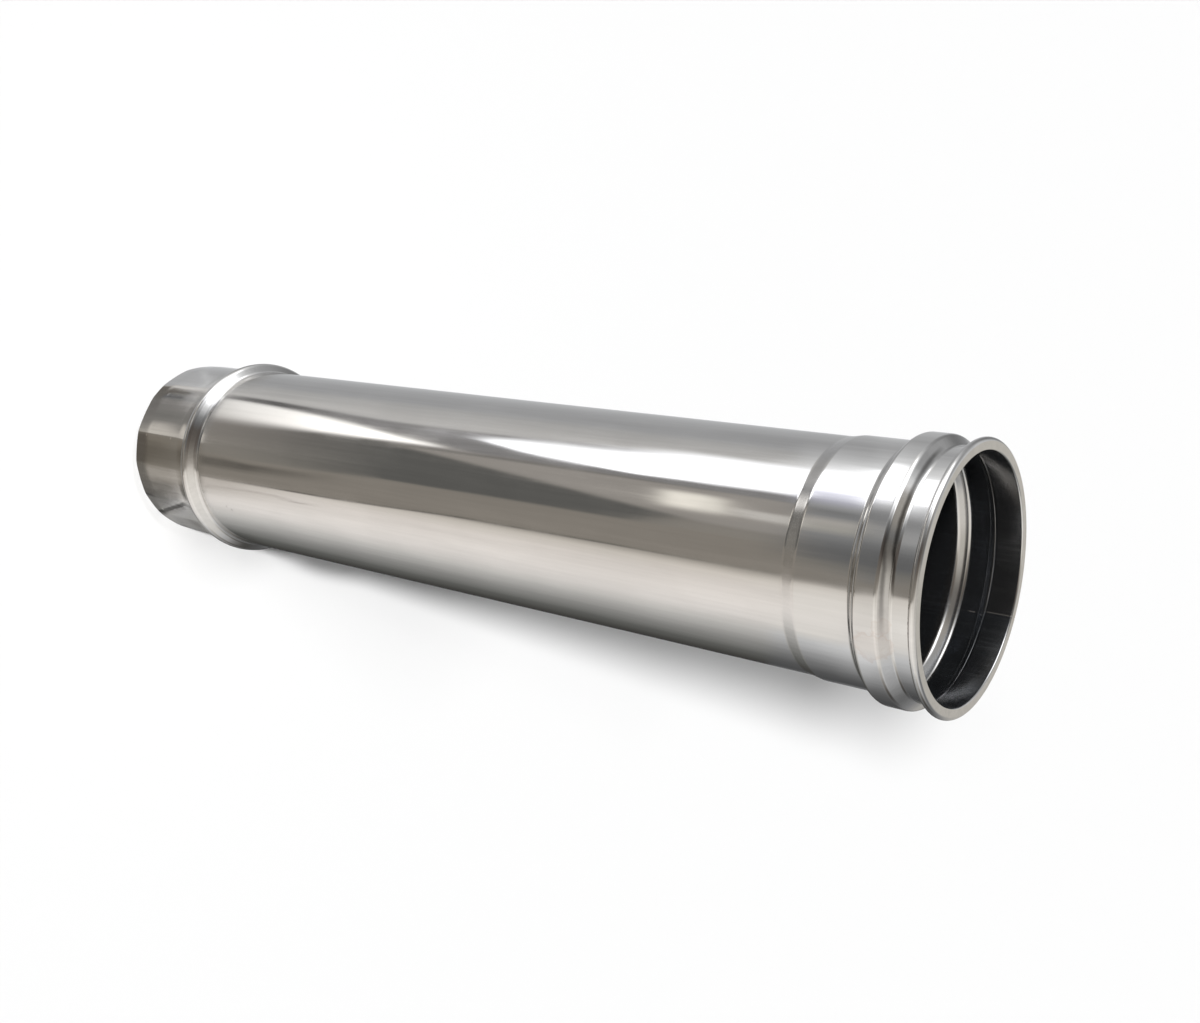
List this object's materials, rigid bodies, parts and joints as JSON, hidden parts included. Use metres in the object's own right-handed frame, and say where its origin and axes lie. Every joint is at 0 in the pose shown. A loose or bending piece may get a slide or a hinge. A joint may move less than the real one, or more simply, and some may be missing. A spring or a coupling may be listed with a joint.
{
  "type": "chimney flue pipe",
  "caption": "Straight round single-wall steel flue pipe with a plain spigot and stop bead at one end, and a socket with a gasket bead and rolled flat rim at the other.",
  "frame": {"origin": "centre of the spigot's end plane, on the pipe's axis", "axes": "+Z along the pipe's axis from the spigot to the socket's mouth; the pipe stands on its spigot end with the socket up, as it is installed"},
  "size_m": [0.127, 0.1268, 0.552],
  "materials": {
    "steel": "polished sheet, slightly wavy"
  },
  "bodies": {
    "root": {"flue_pipe": "steel"}
  },
  "joints": []
}
